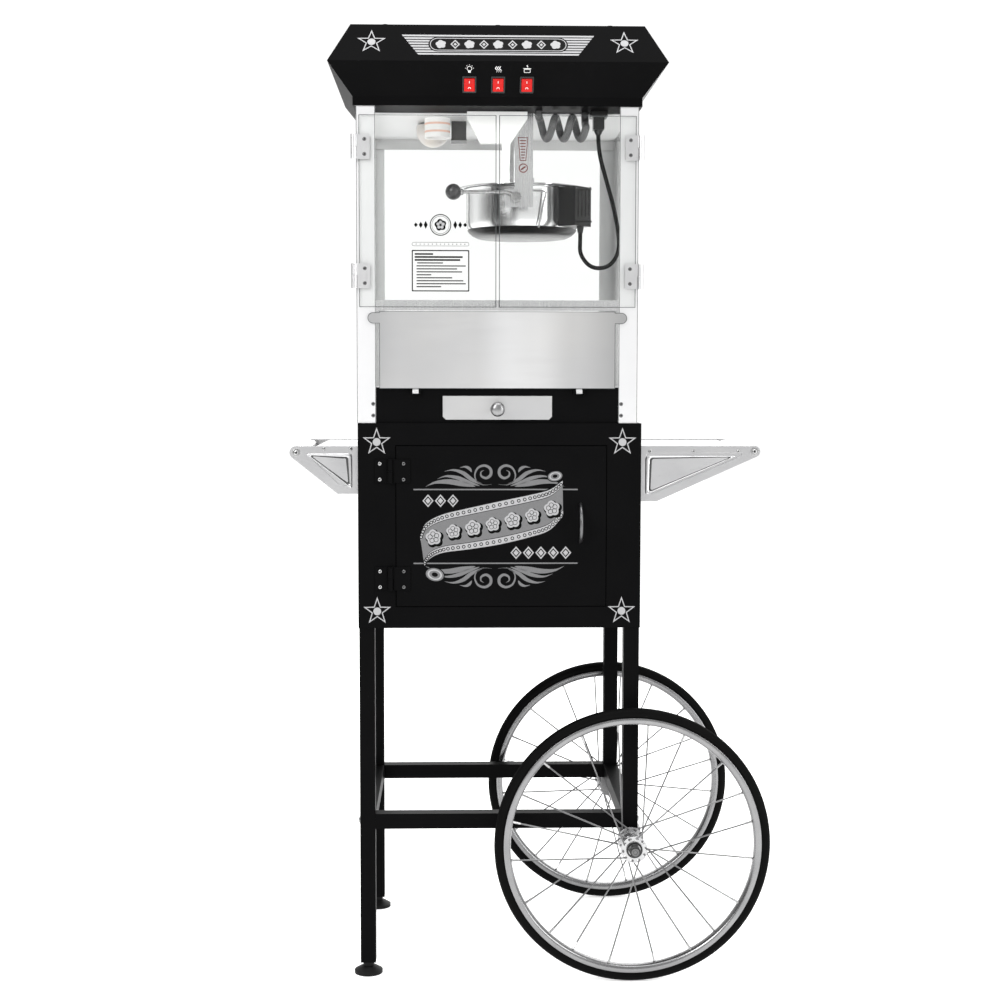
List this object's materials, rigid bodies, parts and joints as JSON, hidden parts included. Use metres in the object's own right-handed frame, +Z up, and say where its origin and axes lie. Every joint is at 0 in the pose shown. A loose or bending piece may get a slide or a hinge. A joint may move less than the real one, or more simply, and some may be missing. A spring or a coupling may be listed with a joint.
{
  "type": "popcorn cart",
  "caption": "Glazed popcorn popper with tilting kettle on a storage cart with two large spoked wheels, levelling feet and side shelves.",
  "frame": {"origin": "on the floor, in the middle of the cart's outline", "axes": "+X from the push handle towards the wheels, +Y from the glass doors to the back, +Z up"},
  "size_m": [0.7944, 0.554, 1.5672],
  "materials": {
    "black_coat": "satin powder coat",
    "foot_rubber": "matte",
    "zinc_steel": "zinc plated",
    "rim_alloy": "satin",
    "tyre_rubber": "matte",
    "shelf_alloy": "satin",
    "stainless": "brushed",
    "post_alloy": "satin anodised",
    "clear_pane": "clear",
    "switch_red": "gloss",
    "white_cover": "satin",
    "polished": "mirror polished",
    "black_plastic": "satin",
    "lamp_glass": "satin"
  },
  "bodies": {
    "root": {"leg_front_left": "black_coat", "leg_rear_left": "black_coat", "leg_front_right": "black_coat", "leg_rear_right": "black_coat", "rails_front_rear": "black_coat", "rails_side": "black_coat", "levelling_feet": "foot_rubber", "axle": "zinc_steel", "axle_brackets": "zinc_steel", "cabinet_shell": "black_coat", "cabinet_hinge_leaves": "black_coat", "shelf_left": "shelf_alloy", "shelf_right": "shelf_alloy", "brackets_left": "shelf_alloy", "brackets_right": "shelf_alloy", "push_handle": "shelf_alloy", "shelf_bar": "shelf_alloy", "popper_base": "black_coat", "corn_floor": "stainless", "post_front_left": "post_alloy", "post_front_right": "post_alloy", "posts_rear": "post_alloy", "glass_sides": "clear_pane", "glass_rear": "clear_pane", "ceiling_panel": "stainless", "door_rail": "post_alloy", "post_hinge_leaves": "post_alloy", "marquee": "black_coat", "kettle_hangers": "stainless", "motor_shroud": "white_cover", "lamp": "lamp_glass", "kettle_plug": "black_plastic", "kettle_lead": "black_plastic", "curly_lead": "black_plastic"},
    "front_wheel": {"hub_front": "zinc_steel", "spokes_front": "zinc_steel", "rim_front": "rim_alloy", "tyre_front": "tyre_rubber"},
    "rear_wheel": {"hub_rear": "zinc_steel", "spokes_rear": "zinc_steel", "rim_rear": "rim_alloy", "tyre_rear": "tyre_rubber"},
    "storage_door": {"cabinet_door": "black_coat", "cabinet_door_leaves": "black_coat", "door_pull": "stainless"},
    "left_door": {"glass_door_left": "clear_pane", "left_door_leaves": "post_alloy"},
    "right_door": {"glass_door_right": "clear_pane", "right_door_leaves": "post_alloy"},
    "flap": {"serving_flap": "stainless"},
    "drawer": {"crumb_drawer": "stainless"},
    "kettle": {"kettle_pan": "polished", "kettle_lid": "polished", "dump_handle": "black_plastic", "terminal_box": "black_plastic"},
    "lid": {"lid_flap": "polished"},
    "stirrer": {"agitator": "polished"},
    "switch_left": {"rocker_left": "switch_red"},
    "switch_middle": {"rocker_middle": "switch_red"},
    "switch_right": {"rocker_right": "switch_red"}
  },
  "joints": [
    {"name": "front_wheel_spin", "type": "hinge", "parent": "root", "child": "front_wheel", "pos_m": [0.16865, -0.23, 0.2286], "axis": [0, 1, 0], "continuous": true},
    {"name": "rear_wheel_spin", "type": "hinge", "parent": "root", "child": "rear_wheel", "pos_m": [0.16865, 0.23, 0.2286], "axis": [0, 1, 0], "continuous": true},
    {"name": "storage_door_hinge", "type": "hinge", "parent": "root", "child": "storage_door", "pos_m": [-0.23045, -0.199, 0.759], "axis": [0, 0, -1], "range_deg": [0, 150]},
    {"name": "left_door_hinge", "type": "hinge", "parent": "root", "child": "left_door", "pos_m": [-0.28795, -0.198, 1.267], "axis": [0, 0, -1], "range_deg": [0, 170]},
    {"name": "right_door_hinge", "type": "hinge", "parent": "root", "child": "right_door", "pos_m": [0.17905, -0.198, 1.267], "axis": [0, 0, 1], "range_deg": [0, 170]},
    {"name": "flap_hinge", "type": "hinge", "parent": "root", "child": "flap", "pos_m": [-0.05445, -0.1972, 0.9745], "axis": [1, 0, 0], "range_deg": [0, 90]},
    {"name": "drawer_slide", "type": "slide", "parent": "root", "child": "drawer", "axis": [0, -1, 0], "range_m": [0, 0.2]},
    {"name": "kettle_tilt", "type": "hinge", "parent": "root", "child": "kettle", "pos_m": [-0.02245, 0, 1.297], "axis": [0, -1, 0], "range_deg": [0, 60]},
    {"name": "lid_hinge", "type": "hinge", "parent": "kettle", "child": "lid", "pos_m": [0.00675, 0, 1.3386], "axis": [0, 1, 0], "range_deg": [0, 50]},
    {"name": "stirrer_spin", "type": "hinge", "parent": "kettle", "child": "stirrer", "pos_m": [-0.00725, 0, 1.3], "axis": [0, 0, 1], "continuous": true},
    {"name": "switch_left_rock", "type": "hinge", "parent": "root", "child": "switch_left", "pos_m": [-0.1007, -0.20599, 1.47042], "axis": [1, 0, 0], "range_deg": [0, 12]},
    {"name": "switch_middle_rock", "type": "hinge", "parent": "root", "child": "switch_middle", "pos_m": [-0.05445, -0.20599, 1.47042], "axis": [1, 0, 0], "range_deg": [0, 12]},
    {"name": "switch_right_rock", "type": "hinge", "parent": "root", "child": "switch_right", "pos_m": [-0.0082, -0.20599, 1.47042], "axis": [1, 0, 0], "range_deg": [0, 12]}
  ]
}
